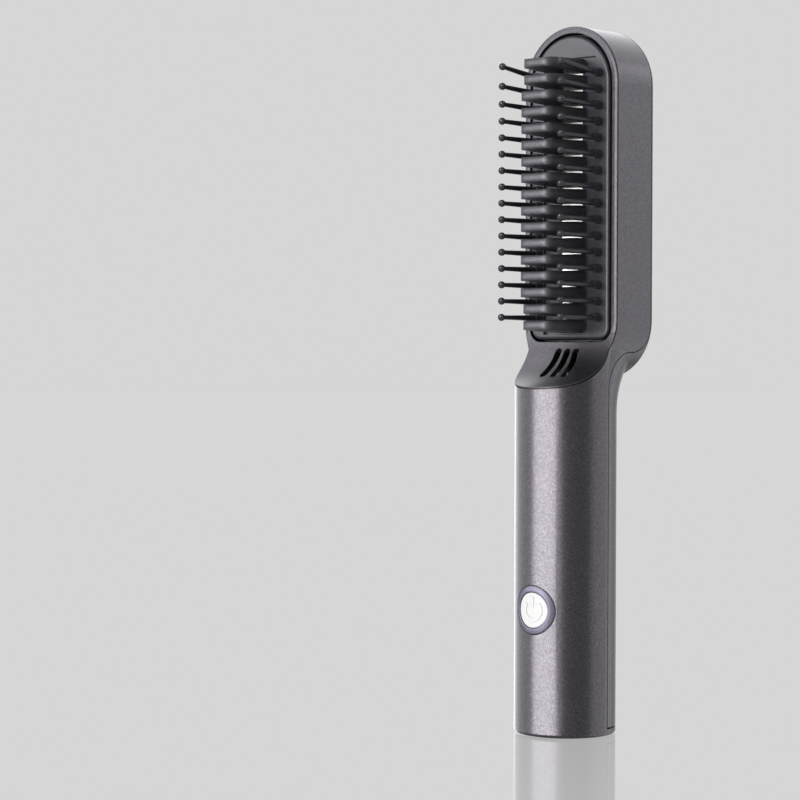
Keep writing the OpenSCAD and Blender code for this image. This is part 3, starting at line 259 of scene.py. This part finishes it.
world = bpy.data.worlds.new("studio")
world.use_nodes = True
world.node_tree.nodes["Background"].inputs["Color"].default_value = GREY
world.node_tree.nodes["Background"].inputs["Strength"].default_value = 1.0
bpy.context.scene.world = world
bpy.context.scene.view_settings.view_transform = "Standard"


# Lights: each group of finishes gets its own, and what no group names is in rest

GROUPS = {
    "shell": ("front_shell", "rear_cover"),
    "trim": ("front_frame", "button_ring"),
    "bed": ("comb_base", "heater_plate"),
    "teeth": ("comb_teeth",),
    "pins": ("guard_pins_left", "guard_pins_right"),
    "rest": (),
}
groups = {name: bpy.data.collections.new(name) for name in GROUPS}
group_of = {piece: group for group, pieces in GROUPS.items() for piece in pieces}
for name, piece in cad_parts.items():
    groups[group_of.get(name, "rest")].objects.link(piece)

# Every panel faces this point, from this distance
MIDDLE = Vector((0, 0, 0.13))
PANEL_DISTANCE = 0.9

# Level directions from the middle to the camera and to its left
TO_CAMERA = Vector((0.6295, -0.7770, 0))
TO_LEFT = Vector((TO_CAMERA.y, -TO_CAMERA.x, 0))

WARM = (1.0, 0.975, 0.99)
COOL = (0.945, 0.95, 1.0)


def soft_light(name, turn, rise, size, radiance, color, group):
    """Panel turned to the left of the camera by turn degrees and raised by rise degrees."""
    a, e = radians(turn), radians(rise)
    level = TO_CAMERA * cos(a) + TO_LEFT * sin(a)
    place = MIDDLE + PANEL_DISTANCE * (level * cos(e) + Vector((0, 0, sin(e))))
    data = bpy.data.lights.new(name, "AREA")
    data.shape = "RECTANGLE"
    data.size, data.size_y = size
    data.energy = radiance * pi * size[0] * size[1]
    data.color = color
    lamp = bpy.data.objects.new(name, data)
    lamp.location = place
    lamp.rotation_euler = (MIDDLE - place).to_track_quat("-Z", "Y").to_euler()
    lamp.visible_camera = False
    lamp.light_linking.receiver_collection = groups[group]
    bpy.context.collection.objects.link(lamp)


soft_light("shell_key", 47, 3, (1.04, 1.3), 11.5, WARM, "shell")
soft_light("shell_left", 125, 0, (1.5, 1.1), 1.7, COOL, "shell")
soft_light("shell_rim", 166, 0, (0.4, 1.1), 1.6, COOL, "shell")
soft_light("shell_right", -96, -8, (1.2, 1.5), 1.6, COOL, "shell")
soft_light("shell_back", -145, 35, (1.4, 0.6), 1.65, COOL, "shell")
soft_light("trim_key", 82, 3, (0.8, 0.8), 4.6, COOL, "trim")
soft_light("trim_high", 82, 52, (1.0, 0.6), 4.2, COOL, "trim")
soft_light("trim_back", 170, 35, (0.8, 0.5), 2.4, COOL, "trim")
soft_light("trim_edge", 42, 0, (0.4, 0.9), 12, WARM, "trim")
soft_light("bed_key", 76, 15, (0.7, 0.6), 5.5, COOL, "bed")
soft_light("bed_edge", 36, 3, (0.3, 0.9), 18, COOL, "bed")
soft_light("teeth_key", 50, 3, (0.5, 0.9), 14, COOL, "teeth")
soft_light("teeth_side", 84, 3, (0.6, 0.9), 1.1, COOL, "teeth")
soft_light("pins_key", 66, 10, (0.5, 0.6), 1.2, COOL, "pins")
soft_light("pins_spot", 38, 32, (0.12, 0.12), 120, COOL, "pins")
soft_light("rest_key", 45, 3, (0.80, 0.90), 2.2, WARM, "rest")


# Camera at the photograph's viewing angle

CAMERA_AT = Vector((0.516270, -0.636796, 0.126038))
RIGHT = Vector((0.731587, 0.681742, 0.002792))
UP = Vector((-0.012996, 0.009851, 0.999867))
AHEAD = Vector((-0.681624, 0.731526, -0.016067))
SENSOR_WIDTH = 36
FOCAL_LENGTH = 108.157

camera_data = bpy.data.cameras.new("camera")
camera_data.sensor_width = SENSOR_WIDTH
camera_data.lens = FOCAL_LENGTH
camera = bpy.data.objects.new("camera", camera_data)
facing = Matrix((RIGHT, UP, -AHEAD)).transposed().to_4x4()
camera.matrix_world = Matrix.Translation(CAMERA_AT) @ facing
bpy.context.collection.objects.link(camera)
bpy.context.scene.camera = camera
